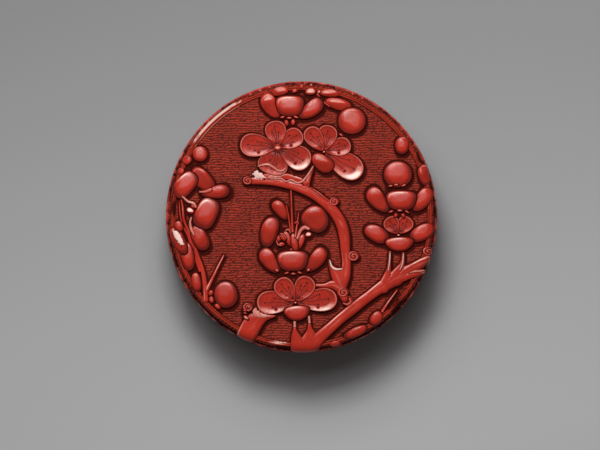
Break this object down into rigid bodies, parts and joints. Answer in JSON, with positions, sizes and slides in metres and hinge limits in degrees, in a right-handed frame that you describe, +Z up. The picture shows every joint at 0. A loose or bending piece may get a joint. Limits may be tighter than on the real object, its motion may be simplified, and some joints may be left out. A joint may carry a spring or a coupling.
{
  "type": "carved lacquer box",
  "caption": "Round flat-topped box of carved red lacquer: lift-off lid over an inner collar, blossoming branches on a rippled ground, black lacquer inside and under the foot.",
  "frame": {"origin": "middle of the foot's flat underside", "axes": "+Z up along the box's axis, +Y towards the top of the picture, +X to its right"},
  "size_m": [0.076, 0.076, 0.03],
  "materials": {
    "red_ground": "cinnabar red lacquer, carved ground, satin",
    "red_carving": "cinnabar red lacquer, polished carving",
    "black_lacquer": "black lacquer, satin",
    "core_wood": "turned softwood, bare"
  },
  "bodies": {
    "base": {"base_coat": "red_ground", "base_core": "core_wood", "base_lining": "black_lacquer", "base_collar": "black_lacquer", "base_underside": "black_lacquer"},
    "lid": {"lid_coat": "red_ground", "lid_core": "core_wood", "lid_lining": "black_lacquer", "lid_open_flower_upper_left": "red_carving", "lid_open_flower_upper_right": "red_carving", "lid_open_flower_lower": "red_carving", "lid_open_flower_right": "red_carving", "lid_cup_flower_top": "red_carving", "lid_cup_flower_middle": "red_carving", "lid_cup_flower_right": "red_carving", "lid_hanging_flower": "red_carving", "lid_side_flower_left": "red_carving", "lid_edge_petals_left": "red_carving", "lid_edge_petals_top": "red_carving", "lid_round_buds": "red_carving", "lid_small_buds": "red_carving", "lid_arching_branch": "red_carving", "lid_lower_branch": "red_carving", "lid_broken_branch": "red_carving", "lid_left_stems": "red_carving", "lid_middle_stem": "red_carving", "lid_lower_stems": "red_carving"}
  },
  "joints": [
    {"name": "lid_lift", "type": "slide", "parent": "base", "child": "lid", "axis": [0, 0, 1], "range_m": [0, 0.06]}
  ]
}
